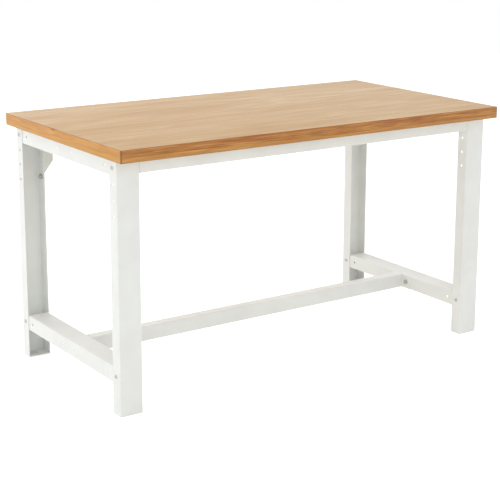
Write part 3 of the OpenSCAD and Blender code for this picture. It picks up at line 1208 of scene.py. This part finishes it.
@dataclass
class FootWelds:
    """Short weld beads that hold each foot plate inside its leg, drawn by a node tree.

    Attributes:
        bead: Radius of a bead.
        ripple: Distance between two ripples.
        swell: How much a ripple stands out, as a share of the radius.
        length: Length of a bead.
        sheet: Thickness of the leg's sheet.
        fineness: Points along one ripple.
        sides: Points round a bead.
        bluntness: How late a bead thins towards its ends.
        least: Radius at its very ends, as a share.
    """

    bead: float = 1.6 * MM
    ripple: float = 1.6 * MM
    swell: float = 0.14
    length: float = 24.0 * MM
    sheet: float = 2.0 * MM
    fineness: float = 6.0
    sides: int = 12
    bluntness: float = 12.0
    least: float = 0.25
    legs: tuple[str, ...] = ("front_left", "front_right", "rear_left", "rear_right")

    def tree(self) -> NodeTree:
        """Builds the node tree that lays a rippled bead along each edge.

        Returns:
            The tree.
        """
        sizes = dict.fromkeys(("Radius", "Ripple", "Swell"), "Float")
        inputs = {"Seams": "Geometry", **sizes, "Finish": "Material"}
        add, given = start_tree("Lay weld beads", inputs)
        seams = add("GeometryNodeMeshToCurve", (given["Seams"],))[0]
        step = add(MATH, (given["Ripple"], self.fineness), "DIVIDE")[0]
        fine = add("GeometryNodeResampleCurve", {"Curve": seams, "Length": step}, mode="LENGTH")[0]
        spline = add("GeometryNodeSplineParameter")
        ripples = add(MATH, (spline["Length"], given["Ripple"]), "DIVIDE")[0]
        phase = add(MATH, (ripples, math.tau), "MULTIPLY")[0]
        sine = add(MATH, (phase,), "SINE")[0]
        wave = add(MATH, (sine, given["Swell"], 1.0), "MULTIPLY_ADD")[0]
        offset = add(MATH, (spline["Factor"], 2.0, -1.0), "MULTIPLY_ADD")[0]
        away = add(MATH, (offset,), "ABSOLUTE")[0]
        power = add(MATH, (away, self.bluntness), "POWER")[0]
        taper = add(MATH, (1.0, power), "SUBTRACT")[0]
        thick = add(MATH, (taper, self.least), "MAXIMUM")[0]
        radius = add(MATH, (wave, thick), "MULTIPLY")[0]
        round_bead = {"Resolution": self.sides, "Radius": given["Radius"]}
        ring = add("GeometryNodeCurvePrimitiveCircle", round_bead)[0]
        bead = {"Curve": fine, "Profile Curve": ring, "Scale": radius, "Fill Caps": True}
        beads = add("GeometryNodeCurveToMesh", bead)[0]
        smooth = add("GeometryNodeSetShadeSmooth", {"Geometry": beads})[0]
        return end_tree(smooth, given["Finish"])

    def seams(self) -> tuple[list[Vector], list[tuple[int, int]]]:
        """Finds where the three beads of each leg run.

        Returns:
            Their ends, and which ends belong together.
        """
        points: list[Vector] = []
        half = self.length / 2
        for leg in self.legs:
            plate_low, plate_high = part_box(f"{leg}_foot_plate")
            leg_low, leg_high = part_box(f"{leg}_leg")
            web_y = leg_low.y + self.sheet if leg_low.y < 0 else leg_high.y - self.sheet
            middle, top = (plate_low + plate_high) / 2, plate_high.z
            points += [Vector((middle.x + shift, web_y, top)) for shift in (-half, half)]
            for x in (leg_low.x + self.sheet, leg_high.x - self.sheet):
                points += [Vector((x, middle.y + shift, top)) for shift in (-half, half)]
        return points, [(i, i + 1) for i in range(0, len(points), 2)]

    def build(self, material: Material, slot: str) -> None:
        """Lays all the beads.

        Args:
            material: Their finish.
            slot: The record's material slot. Not used.
        """
        points, pairs = self.seams()
        mesh = bpy.data.meshes.new("foot_weld_seams")
        mesh.from_pydata(points, pairs, [])
        seams = add_object("foot_weld_seams", mesh)
        sizes = {"Radius": self.bead, "Ripple": self.ripple, "Swell": self.swell}
        use_tree(seams, self.tree(), {**sizes, "Finish": material})
        made = settled(seams, "foot_weld_beads")
        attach(made, "root")
        report(made)


@dataclass
class PhotoCamera:
    """The photograph's camera, found from the corners and edges of the bench in it.

    Attributes:
        azimuth: Turn round the bench, in degrees. 0 looks along +Y.
        elevation: Height above the horizon, in degrees.
        roll: Turn about the line of sight, in degrees.
        distance: Distance from the point that it turns round.
        pivot: That point.
        right: How far the aim lies to the right of it.
        up: How far the aim lies above it.
        focal_pixels: Focal length, in pixels of the photograph.
        middle_pixels: Where the line of sight meets the photograph, which is cropped off-centre.
    """

    azimuth: float = -35.45
    elevation: float = 12.68
    roll: float = 0.47
    distance: float = 4.6365
    pivot: Triple = (0.0, 0.0, 0.42)
    right: float = 0.0816
    up: float = 0.1332
    focal_pixels: float = 1321.8
    middle_pixels: Pair = (280.0, 190.0)

    def build(self) -> None:
        """Sets up the camera."""
        data = bpy.data.cameras.new("photo_camera")
        data.sensor_width = SENSOR_MM
        data.lens = self.focal_pixels / PHOTO_PIXELS * SENSOR_MM
        data.shift_x = 0.5 - self.middle_pixels[0] / PHOTO_PIXELS
        data.shift_y = self.middle_pixels[1] / PHOTO_PIXELS - 0.5
        camera = add_object("photo_camera", data)
        turn = Matrix.Translation(self.pivot)
        for angle, axis in ((self.azimuth, "Z"), (90.0 - self.elevation, "X"), (self.roll, "Z")):
            turn = turn @ Matrix.Rotation(math.radians(angle), 4, axis)
        camera.matrix_world = turn @ Matrix.Translation((self.right, self.up, self.distance))
        bpy.context.scene.camera = camera


@dataclass(frozen=True)
class Lamp:
    """A square soft lamp: where it stands, the point that it faces, its width and its watts."""

    name: str
    place: Triple
    aim: Triple
    width: float
    power: float

    def build(self) -> None:
        """Sets up the lamp."""
        data = bpy.data.lights.new(self.name, "AREA")
        data.shape = "SQUARE"
        data.size = self.width
        data.energy = self.power
        lamp = add_object(self.name, data)
        lamp.location = self.place
        direction = Vector(self.aim) - Vector(self.place)
        lamp.rotation_mode = "QUATERNION"
        lamp.rotation_quaternion = direction.to_track_quat("-Z", "Y")


@dataclass
class Studio:
    """Plain white studio: a floor, lamps, and a soft surround, of which 1 would be white."""

    surround: float = 0.68
    floor_radius: float = 9.0
    lamps: tuple[Lamp, ...] = (
        Lamp("key_lamp", (-4.5, 0.3, 1.8), (0.0, 0.0, 0.6), 2.6, 27.0),
        Lamp("front_lamp", (-0.9, -4.2, 2.4), (0.0, 0.0, 0.5), 2.6, 29.0),
        Lamp("back_lamp", (-0.8, 5.0, 3.4), (0.0, 0.0, 0.5), 2.6, 88.0),
        Lamp("right_lamp", (4.4, -0.6, 2.8), (0.0, 0.0, 0.6), 2.5, 34.0),
        Lamp("high_lamp", (-2.6, 0.2, 4.2), (-0.4, 0.0, 0.4), 2.2, 18.0),
    )

    def floor(self) -> None:
        """Lays the floor."""
        work = bmesh.new()
        bmesh.ops.create_circle(work, cap_ends=True, segments=96, radius=self.floor_radius)
        mesh = mesh_of(work, "studio_floor")
        mesh.materials.append(StudioFloor().material())
        add_object("studio_floor", mesh)

    def world(self) -> None:
        """Lights the scene from all round, and shows white where nothing stands."""
        world = bpy.data.worlds.new("studio_surround")
        world.use_nodes = True
        tree = world.node_tree
        light = (seen_rays(tree), 1.0 - self.surround, self.surround)
        strength = add_node(tree, MATH, light, "MULTIPLY_ADD")[0]
        feed(tree.nodes["Background"], {"Color": WHITE, "Strength": strength})
        bpy.context.scene.world = world

    def build(self) -> None:
        """Sets up the floor, the surround and the lamps."""
        self.floor()
        self.world()
        for lamp in self.lamps:
            lamp.build()
        bpy.context.scene.view_settings.view_transform = "Standard"
        LOG.info("studio: %d lamps", len(self.lamps))


# The same veneer, left without oil on the underside, where it stays pale
RAW_VENEER = BeechVeneer(
    name="beech_veneer_raw",
    ground="#e0cbaa",
    pale=Tint("#e9dac1"),
    figure=Tint("#cdb38c", 0.35),
    streak=Tint("#cdb38c", 0.4),
    fibre=Tint("#cdb38c", 0.22),
    fleck=Tint("#b89a72", 0.35),
)

# The nodes that each shape stands for, and the seeds of their turns
FASTENER_SETS = {
    ButtonBolt: {"end_rail_bolts": 11, "top_rail_bolts": 12, "bracket_bolts": 13},
    HexBolt: {"stretcher_bolts": 14},
    WoodScrew: {"worktop_screws": 15},
    FlangeNut: {"end_rail_nuts": 21, "top_rail_nuts": 22, "bracket_nuts": 23, "stretcher_nuts": 24},
    Washer: {"stretcher_washers": 31, "worktop_washers": 32},
}


def main() -> None:
    """Builds the camera, the studio and the bench's pieces in order."""
    logging.basicConfig(level=logging.INFO, format="%(name)s %(message)s")
    PhotoCamera().build()
    Studio().build()
    finishes = (BeechVeneer(), PlyEdge(), RAW_VENEER)
    Worktop().build([finish.material() for finish in finishes], BOARD_SLOT)
    paint = PowderCoat().material()
    SteelFrame().build(paint)
    FootWelds().build(paint, STEEL_SLOT)
    zinc = ZincPlate().material()
    for shape, seeds in FASTENER_SETS.items():
        for node, seed in seeds.items():
            FastenerSet(node, shape, seed).build(zinc, ZINC_SLOT)


if __name__ == "__main__":
    main()
